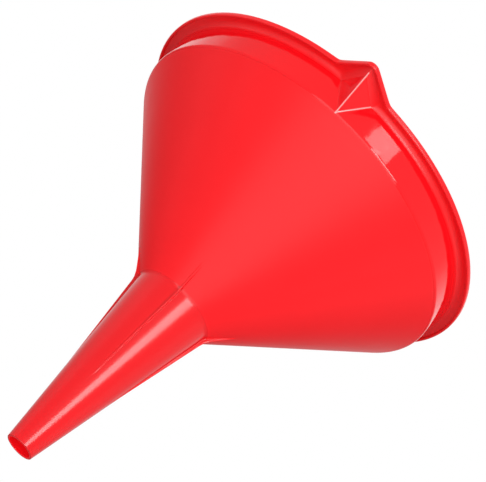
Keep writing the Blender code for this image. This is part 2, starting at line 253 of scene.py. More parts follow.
FACET_NORMAL, FACET_OFFSET = facet_plane()
LIP_ACROSS = Vector((math.sin(math.radians(LIP_HALF_ANGLE)), math.cos(math.radians(LIP_HALF_ANGLE))))
LIP_EDGE_OFFSET = (LIP_REACH - LIP_TIP_ROUND) * LIP_ACROSS.x + LIP_TIP_ROUND
RIM_KNEE = math.degrees(math.asin(LIP_EDGE_OFFSET / RIM_RADIUS)) - LIP_HALF_ANGLE


def facet_radius(azimuth, z, inset):
    """Distance from the axis to the lip's two facets, which meet in a rounded crease."""
    turn = math.radians(math.hypot(azimuth, CREASE_SOFTNESS))
    towards = FACET_NORMAL.x * math.cos(turn) + FACET_NORMAL.y * math.sin(turn)
    return (FACET_OFFSET - inset - FACET_NORMAL.z * z) / towards


def facet_edge(radius, z, inset):
    """Azimuth at which the facet meets a round wall at this height."""
    low = 0.0
    high = 2 * FACET_CORNER
    while high - low > EDGE_TOLERANCE:
        middle = (low + high) / 2
        if facet_radius(middle, z, inset) > radius:
            low = middle
        else:
            high = middle
    return low


def lip_edge_radius(azimuth, inset):
    """Distance from the axis to the lip's straight edge, or to the round at its tip."""
    turn = math.radians(abs(azimuth))
    centre = LIP_REACH - LIP_TIP_ROUND
    radius = LIP_TIP_ROUND - inset
    tangent = math.atan2(radius * LIP_ACROSS.y, centre + radius * LIP_ACROSS.x)
    if turn < tangent:
        return centre * math.cos(turn) + math.sqrt(radius**2 - (centre * math.sin(turn)) ** 2)
    return (LIP_EDGE_OFFSET - inset) / (LIP_ACROSS.x * math.cos(turn) + LIP_ACROSS.y * math.sin(turn))


def rim_outline(azimuth, inset):
    """The rim's plan shape, set in from its outer edge: a circle that swells into the lip."""
    circle = RIM_RADIUS - inset
    if abs(azimuth) > LIP_ZONE:
        return circle
    return soft_max(circle, lip_edge_radius(azimuth, inset), LIP_CORNER_BLEND)


# ---------------------------------------------------------------- rings of the funnel's wall
@dataclass
class Ring:
    """One loop of the wall: its height, its plan shape, and how wide its details are
    (in degrees) at the lip and at the three other ribs."""

    z: float
    outline: Callable[[float], float]
    lip_width: float
    rib_width: float


def rib_angle(radius):
    return math.degrees(RIB_HALF_WIDTH / radius)


def rib_crest(z):
    """Distance from the axis to a vent rib's crest."""
    low_foot = nozzle_radius(RIB_LOW_Z) - RIB_END_SINK
    low_knee = nozzle_radius(RIB_KNEE_LOW_Z) + RIB_HEIGHT
    high_knee = cone_radius(RIB_KNEE_HIGH_Z) + RIB_HEIGHT
    high_foot = cone_radius(RIB_HIGH_Z) - RIB_END_SINK
    if z < RIB_LOW_Z or z > RIB_HIGH_Z:
        return 0.0
    if z < RIB_KNEE_LOW_Z:
        return lerp(low_foot, low_knee, (z - RIB_LOW_Z) / (RIB_KNEE_LOW_Z - RIB_LOW_Z))
    if z < RIB_KNEE_HIGH_Z:
        return lerp(low_knee, high_knee, (z - RIB_KNEE_LOW_Z) / (RIB_KNEE_HIGH_Z - RIB_KNEE_LOW_Z))
    return lerp(high_knee, high_foot, (z - RIB_KNEE_HIGH_Z) / (RIB_HIGH_Z - RIB_KNEE_HIGH_Z))


def ribbed_ring(radius, z):
    """A round ring with a vent rib on each quarter."""
    lift = max(0.0, rib_crest(z) - radius)

    def outline(azimuth):
        across = azimuth - 90.0 * round(azimuth / 90.0)
        aside = abs(radius * math.sin(math.radians(across)))
        share = (RIB_FOOT_HALF - aside) / (RIB_FOOT_HALF - RIB_CREST_HALF)
        return radius + lift * ease(share)

    return Ring(z, outline, rib_angle(radius), rib_angle(radius))


def round_ring(radius, z, lip_width=None):
    return Ring(z, lambda azimuth: radius, lip_width or rib_angle(radius), rib_angle(radius))


def collar_ring(radius, z, inset):
    """A round ring that swells where the lip's facets stand proud of it."""
    softness = FACET_SOFTNESS * ease((z - FACET_START_Z) / (FACET_FULL_Z - FACET_START_Z))

    def outline(azimuth):
        if abs(azimuth) > LIP_ZONE:
            return radius
        return soft_max(radius, facet_radius(azimuth, z, inset), softness)

    return Ring(z, outline, max(FACET_FOOT, facet_edge(radius, z, inset)), rib_angle(radius))


def rim_ring(inset, z):
    return Ring(z, lambda azimuth: rim_outline(azimuth, inset), RIM_KNEE, rib_angle(RIM_RADIUS))


def between(first, second, share, z):
    """A ring part of the way from one ring's plan shape to another's."""

    def outline(azimuth):
        return lerp(first.outline(azimuth), second.outline(azimuth), share)

    lip_width = lerp(first.lip_width, second.lip_width, share)
    return Ring(z, outline, lip_width, lerp(first.rib_width, second.rib_width, share))


def cone_ring(radius, z):
    """A round ring whose lip stations widen, towards the shoulder, to suit the facets."""
    share = ease((z - RIB_HIGH_Z) / (CREASE_FOOT[1] - RIB_HIGH_Z))
    return round_ring(radius, z, lerp(rib_angle(radius), FACET_FOOT, share))


def outer_wall_rings():
    """Outlet to the collar's top, on the outside."""
    outlet = (TIP_RADIUS, 0.0)
    throat = (THROAT_RADIUS, THROAT_Z)
    shoulder = (COLLAR_RADIUS, SHOULDER_Z)
    above = (COLLAR_RADIUS, UNDERSIDE_Z)
    inner_tip = (TIP_RADIUS - TIP_WALL, 0.0)
    tip = fillet(inner_tip, outlet, throat, TIP_ROUND, EDGE_STEPS)
    bend = fillet(outlet, throat, shoulder, THROAT_FILLET, ARC_STEPS)
    turn = fillet(throat, shoulder, above, SHOULDER_FILLET, ARC_STEPS)
    collar_top = (COLLAR_RADIUS, UNDERSIDE_Z - COLLAR_TOP_FILLET)
    rings = [ribbed_ring(r, z) for r, z in tip + run(tip[-1], bend[0], NOZZLE_STEPS) + bend]
    ribbed_end = (cone_radius(RIB_HIGH_Z), RIB_HIGH_Z)
    rings += [ribbed_ring(r, z) for r, z in run(bend[-1], ribbed_end, CONE_STEPS)]
    rings += [cone_ring(r, z) for r, z in [ribbed_end] + run(ribbed_end, turn[0], CONE_STEPS)]
    rings += [collar_ring(r, z, 0.0) for r, z in turn + run(turn[-1], collar_top, COLLAR_STEPS)]
    return rings


def underside_rings():
    """From the bend at the collar's top out to the skirt, under the rim."""
    collar = collar_ring(COLLAR_RADIUS, UNDERSIDE_Z, 0.0)
    skirt_inside = rim_ring(SKIRT_WALL, UNDERSIDE_Z)
    bend_share = COLLAR_TOP_FILLET / (RIM_RADIUS - SKIRT_WALL - COLLAR_RADIUS)
    rings = []
    for sine, cosine in quarter_arc(ARC_STEPS):
        z = UNDERSIDE_Z - COLLAR_TOP_FILLET * (1 - sine)
        bent = collar_ring(COLLAR_RADIUS, z, 0.0)
        rings.append(between(bent, skirt_inside, bend_share * (1 - cosine), z))
    for part in UNDERSIDE_PARTS:
        rings.append(between(collar, skirt_inside, lerp(bend_share, 1.0, part), UNDERSIDE_Z))
    return rings


def skirt_rings():
    """Down the skirt's inside, round its foot, and up its outside to the rim's top edge."""
    foot_top = SKIRT_FOOT_Z + RIM_FOOT_ROUND
    rings = [rim_ring(SKIRT_WALL, (UNDERSIDE_Z + foot_top) / 2)]
    for sine, cosine in quarter_arc(EDGE_STEPS):
        inset = SKIRT_WALL - RIM_FOOT_ROUND * (1 - cosine)
        rings.append(rim_ring(inset, SKIRT_FOOT_Z + RIM_FOOT_ROUND * (1 - sine)))
    for sine, cosine in quarter_arc(EDGE_STEPS)[1:]:
        rings.append(rim_ring(RIM_FOOT_ROUND * (1 - sine), SKIRT_FOOT_Z + RIM_FOOT_ROUND * (1 - cosine)))
    rings.append(rim_ring(0.0, (foot_top + HEIGHT - RIM_TOP_ROUND) / 2))
    for sine, cosine in quarter_arc(TOP_STEPS):
        rings.append(rim_ring(RIM_TOP_ROUND * (1 - cosine), HEIGHT - RIM_TOP_ROUND * (1 - sine)))
    return rings


def top_rings():
    """Over the rim's flat top face and round the edge of its mouth."""
    top_edge = rim_ring(RIM_TOP_ROUND, HEIGHT)
    mouth = collar_ring(COLLAR_RADIUS - WALL, HEIGHT, WALL)
    flat = RIM_RADIUS - RIM_TOP_ROUND - COLLAR_RADIUS + WALL
    flat_share = 1 - RIM_MOUTH_ROUND / flat
    rings = [between(top_edge, mouth, flat_share * part, HEIGHT) for part in TOP_FACE_PARTS]
    for sine, cosine in quarter_arc(TOP_STEPS):
        share = lerp(flat_share, 1.0, sine)
        rings.append(between(top_edge, mouth, share, HEIGHT - RIM_MOUTH_ROUND * (1 - cosine)))
    return rings


def inner_wall_rings():
    """The mouth down to the outlet, on the inside."""
    bore = COLLAR_RADIUS - WALL
    mouth = (bore, HEIGHT - RIM_MOUTH_ROUND)
    shoulder = (bore, THROAT_Z + (bore - THROAT_RADIUS + CONE_WALL) / CONE_SLOPE)
    throat = (cone_bore(INNER_THROAT_Z), INNER_THROAT_Z)
    outlet = (nozzle_bore(0.0), 0.0)
    turn = fillet(mouth, shoulder, throat, SHOULDER_INSIDE_FILLET, ARC_STEPS)
    bend = fillet(shoulder, throat, outlet, THROAT_FILLET + WALL, ARC_STEPS)
    tip = fillet(throat, outlet, (TIP_RADIUS, 0.0), TIP_ROUND, EDGE_STEPS)
    rings = [collar_ring(r, z, WALL) for r, z in run(mouth, turn[0], INNER_COLLAR_STEPS) + turn]
    rings += [cone_ring(r, z) for r, z in run(turn[-1], bend[0], INNER_CONE_STEPS)]
    rings += [round_ring(r, z) for r, z in bend + run(bend[-1], tip[0], BORE_STEPS) + tip]
    return rings


def ring_azimuths(ring):
    """Station angles for one half of a ring, 0 to 180: close together at the lip and ribs."""

    def open_run(start, end):
        found = []
        for i in range(1, OPEN_STEPS):
            share = i / OPEN_STEPS
            share -= OPEN_EASE * math.sin(math.tau * share) / math.tau
            found.append(lerp(start, end, share))
        return found

    lip_side = [ring.lip_width * share for share in NEAR_SHARES]
    rib_side = [ring.rib_width * share for share in NEAR_SHARES]
    last = rib_side[-1]
    half = lip_side + open_run(lip_side[-1], 90.0 - last)
    half += [90.0 - width for width in reversed(rib_side)]
    half += [90.0 + width for width in rib_side[1:]]
    half += open_run(90.0 + last, 180.0 - last)
    half += [180.0 - width for width in reversed(rib_side)]
    return half


def ring_points(ring):
    half = ring_azimuths(ring)
    azimuths = half + [-azimuth for azimuth in reversed(half[1:-1])]
    points = []
    for azimuth in azimuths:
        radius = ring.outline(azimuth)
        turn = math.radians(azimuth)
        points.append(Vector((AXIS_X + radius * math.cos(turn), radius * math.sin(turn), ring.z)) * MM)
    return points


def finished_piece(name, shape, body, material, replaced):
    """Turns a bmesh into a smooth piece that rides on a CAD body and stands for a CAD node."""
    bmesh.ops.recalc_face_normals(shape, faces=shape.faces)
    mesh = bpy.data.meshes.new(name)
    shape.to_mesh(mesh)
    shape.free()
    mesh.materials.append(material)
    mesh.shade_smooth()
    mesh.set_sharp_from_angle(angle=math.radians(SHARP_ANGLE))
    piece = bpy.data.objects.new(name, mesh)
    bpy.context.scene.collection.objects.link(piece)
    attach(piece, body)
    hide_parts(replaced)
    return piece


def moulded_funnel(material):
    """The whole moulding, with its lip and vent ribs, as one closed skin."""
    shape = bmesh.new()
    loops = []
    rings = outer_wall_rings() + underside_rings() + skirt_rings() + top_rings() + inner_wall_rings()
    for ring in rings:
        loops.append([shape.verts.new(point) for point in ring_points(ring)])
    for lower, upper in zip(loops, loops[1:] + loops[:1]):
        for i in range(len(lower)):
            j = (i + 1) % len(lower)
            shape.faces.new((lower[i], lower[j], upper[j], upper[i]))
    return finished_piece("moulded_funnel", shape, "funnel", material, "funnel_body")


# ---------------------------------------------------------------- the strainer
LEDGE_Z = STRAINER_LOW.z + HUB_HEIGHT
STRAINER_Z = LEDGE_Z - LEDGE_THICKNESS


def rounded(section, radius):
    """A closed section with each corner rounded, as far as its neighbours leave room."""
    found = []
    count = len(section)
    for i, corner in enumerate(section):
        before = section[i - 1]
        after = section[(i + 1) % count]
        back = Vector(before) - Vector(corner)
        ahead = Vector(after) - Vector(corner)
        half = back.angle(ahead) / 2
        room = ROUND_ROOM * min(back.length, ahead.length) * math.tan(half)
        found += fillet(before, corner, after, min(radius, room), ROUND_STEPS)
    return found


def turned(section):
    """A closed (radius, height) section spun round the axis; points at radius 0 become poles."""
    shape = bmesh.new()
    verts = [shape.verts.new(Vector((r, 0.0, z)) * MM) for r, z in section]
    pairs = list(zip(verts, verts[1:]))
    if section[0][0] > 0:
        pairs.append((verts[-1], verts[0]))
    edges = [shape.edges.new(pair) for pair in pairs]
    bmesh.ops.spin(
        shape,
        geom=verts + edges,
        axis=(0, 0, 1),
        cent=(0, 0, 0),
        steps=TURNED_STEPS,
        angle=math.tau,
        use_merge=True,
    )
    bmesh.ops.remove_doubles(shape, verts=shape.verts, dist=POLE_MERGE)
    bmesh.ops.translate(shape, verts=shape.verts, vec=(AXIS_X * MM, 0, 0))
    return shape


def lathe(name, section, material, replaced):
    """A black plastic piece of the strainer, turned from a section."""
    return finished_piece(name, turned(section), "strainer", material, replaced)


def join(target, shape, name):
    """Boolean union of a helper bmesh into a piece; the helper isn't shown."""
    bmesh.ops.recalc_face_normals(shape, faces=shape.faces)
    mesh = bpy.data.meshes.new(name)
    shape.to_mesh(mesh)
    shape.free()
    mesh.shade_smooth()
    helper = bpy.data.objects.new(name, mesh)
    bpy.context.scene.collection.objects.link(helper)
    helper.parent = target
    helper.hide_render = True
    helper.hide_viewport = True
    modifier = target.modifiers.new(name, "BOOLEAN")
    modifier.operation = "UNION"
    modifier.solver = "EXACT"
    modifier.object = helper


def spoke(turn, drop):
    """A straight bar with softened edges across the strainer's ring."""
    shape = bmesh.new()
    bmesh.ops.create_cube(shape, size=1.0)
    length = 2 * (LEDGE_INNER + SPOKE_ROOT)
    bmesh.ops.scale(shape, vec=(length * MM, SPOKE_WIDTH * MM, SPOKE_HEIGHT * MM), verts=shape.verts)
    edges = list(shape.edges)
    softening = SPOKE_SOFTENING * MM
    bmesh.ops.bevel(shape, geom=edges, offset=softening, segments=ROUND_STEPS, affect="EDGES")
    bmesh.ops.rotate(shape, verts=shape.verts, matrix=Matrix.Rotation(math.radians(turn), 3, "Z"))
    height = LEDGE_Z - drop - SPOKE_HEIGHT / 2
    bmesh.ops.translate(shape, verts=shape.verts, vec=Vector((AXIS_X, 0, height)) * MM)
    return shape


def pull_post_section():
    """Half outline of the hub, the post and its knob, from the axis and back to it."""
    knob_top = STRAINER_HIGH.z
    knob_foot = knob_top - KNOB_HEIGHT
    foot_pole = (0.0, STRAINER_LOW.z)
    top_pole = (0.0, knob_top)
    outline = [
        foot_pole,
        (HUB_RADIUS, STRAINER_LOW.z),
        (HUB_RADIUS, LEDGE_Z),
        (POST_RADIUS, LEDGE_Z),
        (POST_RADIUS, knob_foot - KNOB_ROUND),
        (KNOB_RADIUS, knob_foot),
        (KNOB_RADIUS, knob_top),
        top_pole,
    ]
    section = [foot_pole]
    for before, corner, after in zip(outline, outline[1:], outline[2:]):
        radius = KNOB_ROUND if corner[1] == knob_top else CORNER_ROUND
        section += fillet(before, corner, after, radius, POST_STEPS)
    section.append(top_pole)
    return section


def moulded_strainer(material):
    """Ring that wedges in the cone, a cross of spokes, and the post and knob it's lifted by."""
    top = STRAINER_Z + STRAINER_HEIGHT
    outer = cone_bore(top) - SEAT_GAP
    bead_z = CLIP_HIGH.z + FIT_GAP
    ring_section = [
        (LEDGE_INNER, STRAINER_Z),
        (cone_bore(STRAINER_Z) - SEAT_GAP, STRAINER_Z),
        (outer, top),
        (outer - RING_TOP_WIDTH, top),
        (POCKET_RADIUS, STRAINER_Z + POCKET_TOP),
        (POCKET_RADIUS - SNAP_BEAD, bead_z + SNAP_BEAD),
        (POCKET_RADIUS, bead_z),
        (POCKET_RADIUS, LEDGE_Z),
        (LEDGE_INNER, LEDGE_Z),
    ]
    ring = rounded(ring_section, CORNER_ROUND)
    piece = lathe("moulded_strainer", ring, material, "strainer_frame")
    join(piece, spoke(0.0, SPOKE_DROP), "spoke_x")
    join(piece, spoke(90.0, SPOKE_DROP + SPOKE_STEP), "spoke_y")
    join(piece, turned(pull_post_section()), "pull_post")
    return piece


def clip_ring(material):
    """Ring that snaps in under the bead and traps the gauze's edge."""
    section = [
        (LEDGE_INNER, CLIP_LOW.z),
        (POCKET_RADIUS - FIT_GAP - CLIP_CHAMFER, CLIP_LOW.z),
        (POCKET_RADIUS - FIT_GAP, CLIP_LOW.z + CLIP_CHAMFER),
        (POCKET_RADIUS - FIT_GAP, CLIP_HIGH.z),
        (LEDGE_INNER + CLIP_CHAMFER, CLIP_HIGH.z),
        (LEDGE_INNER, CLIP_HIGH.z - CLIP_CHAMFER),
    ]
    lathe("snap_clip_ring", rounded(section, CORNER_ROUND), material, "strainer_clip_ring")


def wire(shape, points):
    """A closed round wire along a path of points in millimetres."""
    loops = []
    for i, point in enumerate(points):
        ahead = points[min(i + 1, len(points) - 1)] - points[max(i - 1, 0)]
        ahead.normalize()
        aside = ahead.cross(Vector((0, 0, 1))).normalized()
        rise = aside.cross(ahead)
        loop = []
        for k in range(WIRE_SIDES):
            turn = math.tau * k / WIRE_SIDES
            out = aside * math.cos(turn) + rise * math.sin(turn)
            loop.append(shape.verts.new((point + out * WIRE_RADIUS) * MM))
        loops.append(loop)
    for near, far in zip(loops, loops[1:]):
        for k in range(WIRE_SIDES):
            m = (k + 1) % WIRE_SIDES
            shape.faces.new((near[k], near[m], far[m], far[k]))
    shape.faces.new(loops[0])
    shape.faces.new(loops[-1])


def woven_gauze(material):
    """Plain weave: wires both ways, each passing over and under the ones it crosses."""
    middle = (GAUZE_LOW.z + GAUZE_HIGH.z) / 2
    outer = (GAUZE_HIGH.x - GAUZE_LOW.x) / 2 - WIRE_RADIUS
    count = int(outer / WIRE_PITCH)
    shape = bmesh.new()
    for along_x in (True, False):
        for i in range(-count, count + 1):
            aside = i * WIRE_PITCH
            reach = math.sqrt(outer**2 - aside**2)
            clear = math.sqrt(max(0.0, GAUZE_HOLE**2 - aside**2))
            spans = [(-reach, reach)] if clear == 0 else [(-reach, -clear), (clear, reach)]
            for start, end in spans:
                steps = max(2, round(WIRE_STEPS * (end - start) / WIRE_PITCH))
                points = []
                for k in range(steps + 1):
                    along = lerp(start, end, k / steps)
                    sway = math.cos(math.pi * along / WIRE_PITCH + math.pi * i)
                    rise = WIRE_RADIUS * sway * (1 if along_x else -1)
                    flat = (along, aside) if along_x else (aside, along)
                    points.append(Vector((AXIS_X + flat[0], flat[1], middle + rise)))
                wire(shape, points)
    return finished_piece("woven_gauze", shape, "strainer", material, "strainer_gauze")


# ---------------------------------------------------------------- materials
class Nodes:
    """A small helper that adds nodes to a material and wires them by name."""

    def __init__(self, name):
        self.material = bpy.data.materials.new(name)
        self.material.use_nodes = True
        self.tree = self.material.node_tree
        self.shader = self.tree.nodes["Principled BSDF"]
        self.output = self.tree.nodes["Material Output"]

    def add(self, kind, operation=None, **inputs):
        node = self.tree.nodes.new("ShaderNode" + kind)
        if operation:
            node.operation = operation
        for key, value in inputs.items():
            place = int(key[1:]) if key[0] == "i" and key[1:].isdigit() else key.replace("_", " ")
            self.feed(node.inputs[place], value)
        return node

    def feed(self, socket, value):
        if isinstance(value, bpy.types.NodeSocket):
            self.tree.links.new(value, socket)
        else:
            socket.default_value = value

    def math(self, operation, first, second=0.0, clamp=False):
        node = self.add("Math", operation, i0=first, i1=second)
        node.use_clamp = clamp
        return node.outputs[0]

    def blend(self, share, low, high):
        node = self.add("Mix", i0=share, i2=low, i3=high)
        return node.outputs[0]

    def tint(self, share, low, high):
        node = self.add("Mix")
        node.data_type = "RGBA"
        self.feed(node.inputs[0], share)
        self.feed(node.inputs[6], low)
        self.feed(node.inputs[7], high)
        return node.outputs[2]

    def place(self):
        return self.add("TexCoord").outputs["Object"]

    def noise(self, size_mm, detail):
        """Noise whose features are about size_mm across, between 0 and 1."""
        scale = 1.0 / (size_mm * MM)
        node = self.add("TexNoise", Vector=self.place(), Scale=scale, Detail=detail)
        return node.outputs["Fac"]

    def bump(self, height, depth_mm, under=None):
        node = self.add("Bump", Height=height, Distance=depth_mm * MM, Strength=1.0)
        if under is not None:
            self.feed(node.inputs["Normal"], under)
        return node.outputs["Normal"]

    def surface(self, **inputs):
        """Feeds the shader's own inputs, with a low line for each space in a name."""
        for key, value in inputs.items():
            self.feed(self.shader.inputs[key.replace("_", " ")], value)


def rgb(red, green, blue):
    return (red, green, blue, 1.0)


# The red moulding. Sizes and depths are in millimetres.
RED_DEEP = rgb(0.73, 0.0035, 0.0070)
RED_BRIGHT = rgb(0.79, 0.0055, 0.0100)
RED_FLOW_SIZE = 45.0
NOZZLE_PAINTED_SHADE = 0.87  # painted shade: the nozzle's red darkened against the cone's
BORE_GLOW = 0.3
# Painted highlight lines along the lip's crease and facet edge: their colour, half width and strength.
RED_PAINTED_HIGHLIGHT = rgb(0.95, 0.42, 0.42)
HIGHLIGHT_LINE_HALF_WIDTH = 0.55
HIGHLIGHT_LINE_SHARE = 0.85
CREASE_HIGH_Z = SKIRT_FOOT_Z - 0.2  # top of the crease's painted highlight line, just short of the turned-down rim
CONE_ROUGHNESS = 0.38
GLOSS_ROUGHNESS = 0.07
NOZZLE_ROUGHNESS = 0.2
RIM_ROUGHNESS = 0.35
RIM_LOW_Z = UNDERSIDE_Z - COLLAR_TOP_FILLET  # the satin rim and the bend under it start here
SMEAR_SIZE = 9.0
SMEAR_REACH = 0.05  # how much the smears vary the roughness
MATT_LOW_Z = 126.5  # the cone's matt grain runs between these heights
MATT_HIGH_Z = 227.7
MATT_EDGE = 0.3
MATT_SHINE = 0.32  # specular level of the matt grain
GLOSS_SHINE = 0.5
GRAIN_SIZE = 0.5
GRAIN_DEPTH = 0.012
RIPPLE_SIZE = 13.0  # on the collar only
RIPPLE_DEPTH = 0.2
WAVE_SIZE = 22.0
WAVE_DEPTH = 0.05
PLASTIC_IOR = 1.5

# The strainer's black plastic
BLACK_DEEP = rgb(0.012, 0.012, 0.013)
BLACK_SCUFFED = rgb(0.03, 0.03, 0.032)
BLACK_ROUGHNESS = (0.34, 0.5)  # plain and scuffed
SCUFF_SIZE = 6.0
BLACK_GRAIN_SIZE = 0.4
BLACK_GRAIN_DEPTH = 0.01

# The gauze's brass
BRASS_BRIGHT = rgb(0.80, 0.58, 0.24)
BRASS_DULL = rgb(0.52, 0.36, 0.14)
BRASS_ROUGHNESS = (0.22, 0.42)  # bright and dull
DULL_SIZE = 5.0
DRAWN_SIZE = 0.15
DRAWN_DEPTH = 0.004


def line_mark(nodes, distance):
    """1 where a signed distance is 0, falling to 0 at the painted highlight line's half width."""
    away = nodes.math("DIVIDE", nodes.math("ABSOLUTE", distance), HIGHLIGHT_LINE_HALF_WIDTH * MM)
    return nodes.math("SUBTRACT", 1.0, away, True)


def facet_side(nodes, azimuth, height, climb):
    """Signed distance round the collar from the lower edge of the lip's +Y facet."""
    rise = nodes.add("MapRange", Value=height, From_Min=climb[0], From_Max=climb[1])
    foot, top = (math.radians(facet_edge(COLLAR_RADIUS, z / MM, 0.0)) for z in climb)
    spread = nodes.blend(rise.outputs[0], foot, top)
    return nodes.math("MULTIPLY", nodes.math("SUBTRACT", azimuth, spread), COLLAR_RADIUS * MM)


def lip_edge_highlights(nodes, split):
    """Painted highlight: how far the plastic is lightened along the lip's crease and the edge of its +Y
    facet, where light glints on these small rounded edges.
    """
    across = split.outputs["Y"]
    along = nodes.math("SUBTRACT", split.outputs["X"], AXIS_X * MM)
    height = split.outputs["Z"]
    climb = (CREASE_FOOT[1] * MM, RIM_LOW_Z * MM)
    beside = facet_side(nodes, nodes.math("ARCTAN2", across, along), height, climb)
    below_bend = nodes.math("LESS_THAN", height, climb[1])
    below_rim = nodes.math("LESS_THAN", height, CREASE_HIGH_Z * MM)
    crease = nodes.math("MULTIPLY", line_mark(nodes, across), below_rim)
    edge = nodes.math("MULTIPLY", line_mark(nodes, beside), below_bend)
    on_lip = nodes.math("GREATER_THAN", height, climb[0])
    outside = nodes.math("GREATER_THAN", along, (COLLAR_RADIUS - WALL / 2) * MM)
    mark = nodes.math("MAXIMUM", crease, edge)
    mark = nodes.math("MULTIPLY", nodes.math("MULTIPLY", mark, on_lip), outside)
    return nodes.math("MULTIPLY", mark, HIGHLIGHT_LINE_SHARE)


def in_bore(nodes, split):
    """1 on the nozzle's bore. Its glow stands for the light that comes through the thin wall."""
    along = nodes.math("SUBTRACT", split.outputs["X"], AXIS_X * MM)
    away = nodes.add("CombineXYZ", X=along, Y=split.outputs["Y"])
    radius = nodes.add("VectorMath", "LENGTH", i0=away.outputs[0]).outputs["Value"]
    middle = nodes.math("MULTIPLY", split.outputs["Z"], NOZZLE_SLOPE)
    middle = nodes.math("ADD", middle, (TIP_RADIUS - TIP_WALL / 2) * MM)
    inside = nodes.math("LESS_THAN", radius, middle)
    return nodes.math("MULTIPLY", inside, nodes.math("LESS_THAN", split.outputs["Z"], THROAT_Z * MM))


def matt_share(nodes, height):
    """1 on the cone, 0 on the nozzle and the collar, with a short change at each end."""
    edge = MATT_EDGE * MM
    above = nodes.math("DIVIDE", nodes.math("SUBTRACT", height, MATT_LOW_Z * MM), edge, True)
    below = nodes.math("DIVIDE", nodes.math("SUBTRACT", MATT_HIGH_Z * MM, height), edge, True)
    return nodes.math("MULTIPLY", above, below)


def red_colour(nodes, is_nozzle):
    flow = nodes.noise(RED_FLOW_SIZE, 3.0)
    red = nodes.tint(flow, RED_DEEP, RED_BRIGHT)
    # Painted shade: the nozzle's red is darkened against the cone's.
    shade = nodes.blend(is_nozzle, 1.0, NOZZLE_PAINTED_SHADE)
    return nodes.add("VectorMath", "SCALE", i0=red, Scale=shade).outputs[0]


def red_roughness(nodes, matt, is_nozzle, is_rim):
    """Gloss, satin or matt by zone, varied by faint smears."""
    smears = nodes.math("SUBTRACT", nodes.noise(SMEAR_SIZE, 4.0), 0.5)
    smears = nodes.math("MULTIPLY", smears, SMEAR_REACH)
    gloss = nodes.blend(is_nozzle, GLOSS_ROUGHNESS, NOZZLE_ROUGHNESS)
    gloss = nodes.blend(is_rim, gloss, RIM_ROUGHNESS)
    return nodes.math("ADD", nodes.blend(matt, gloss, CONE_ROUGHNESS), smears, True)


def red_relief(nodes, matt, is_collar):
    """Slight waves all over, a ripple on the collar, and the cone's fine grain."""
    waves = nodes.bump(nodes.noise(WAVE_SIZE, 1.0), WAVE_DEPTH)
    ripple = nodes.math("MULTIPLY", nodes.noise(RIPPLE_SIZE, 1.0), is_collar)
    grain = nodes.math("MULTIPLY", nodes.noise(GRAIN_SIZE, 1.0), matt)
    return nodes.bump(grain, GRAIN_DEPTH, under=nodes.bump(ripple, RIPPLE_DEPTH, under=waves))


def red_plastic():
    """Moulded red plastic: matt cone, glossy collar, softer gloss on the nozzle, satin rim. Painted
    highlight lines run along the lip's crease and facet edge, the nozzle's red is darkened as painted
    shade, and the bore glows for the light through its thin wall.
    """
    nodes = Nodes("moulded_red")
    split = nodes.add("SeparateXYZ", Vector=nodes.place())
    height = split.outputs["Z"]
    matt = matt_share(nodes, height)
    is_nozzle = nodes.math("LESS_THAN", height, MATT_LOW_Z * MM)
    is_rim = nodes.math("GREATER_THAN", height, RIM_LOW_Z * MM)
    is_collar = nodes.math("SUBTRACT", nodes.math("GREATER_THAN", height, MATT_HIGH_Z * MM), is_rim)
    red = red_colour(nodes, is_nozzle)
    nodes.surface(
        # Base colour: the red, lightened to a painted highlight along the lip's crease and facet edge.
        Base_Color=nodes.tint(lip_edge_highlights(nodes, split), red, RED_PAINTED_HIGHLIGHT),
        Roughness=red_roughness(nodes, matt, is_nozzle, is_rim),
        Normal=red_relief(nodes, matt, is_collar),
        IOR=PLASTIC_IOR,
        Specular_IOR_Level=nodes.blend(matt, GLOSS_SHINE, MATT_SHINE),
        Emission_Color=red,
        Emission_Strength=nodes.math("MULTIPLY", in_bore(nodes, split), BORE_GLOW),
    )
    return nodes.material


def black_plastic():
    """Moulded black plastic with a satin grain and faint scuffs."""
    nodes = Nodes("moulded_black")
    scuffs = nodes.noise(SCUFF_SIZE, 5.0)
    nodes.surface(
        Base_Color=nodes.tint(scuffs, BLACK_DEEP, BLACK_SCUFFED),
        Roughness=nodes.blend(scuffs, *BLACK_ROUGHNESS),
        Normal=nodes.bump(nodes.noise(BLACK_GRAIN_SIZE, 1.0), BLACK_GRAIN_DEPTH),
    )
    return nodes.material


def brass_wire():
    """Drawn brass wire, a little dulled in patches."""
    nodes = Nodes("drawn_brass")
    dull = nodes.noise(DULL_SIZE, 3.0)
    nodes.surface(
        Base_Color=nodes.tint(dull, BRASS_BRIGHT, BRASS_DULL),
        Metallic=1.0,
        Roughness=nodes.blend(dull, *BRASS_ROUGHNESS),
        Normal=nodes.bump(nodes.noise(DRAWN_SIZE, 1.0), DRAWN_DEPTH),
    )
    return nodes.material


# ---------------------------------------------------------------- floor, light and camera
# Lengths here are in metres. The camera's are in millimetres, apart from NEAR_CLIP.
FLOOR_RADIUS = 6.0
FLOOR_SIDES = 96
FLOOR_DROP = 0.0004
FLOOR_FADE_START = 0.3  # distance from the origin
FLOOR_FADE_END = 1.4
FLOOR_GREYS = (rgb(0.76, 0.76, 0.75), rgb(0.80, 0.80, 0.79))
FLOOR_SPECK_SIZE = 14.0  # millimetres
FLOOR_ROUGHNESS = 0.7
FLOOR_SHINE = 0.2
WHITE = rgb(1.0, 1.0, 1.0)
FRONT_LIGHT = 0.45
WALL_LIGHT = 1.15  # behind the funnel, high up
TABLE_LIGHT = 0.2  # behind the funnel, level and below
WALL_START = 0.0  # upward part of the direction where the wall's light begins
WALL_FULL = 0.55
BACK_START = 0.1  # backward part of the direction where front light gives way to the wall's
BACK_FULL = 0.7

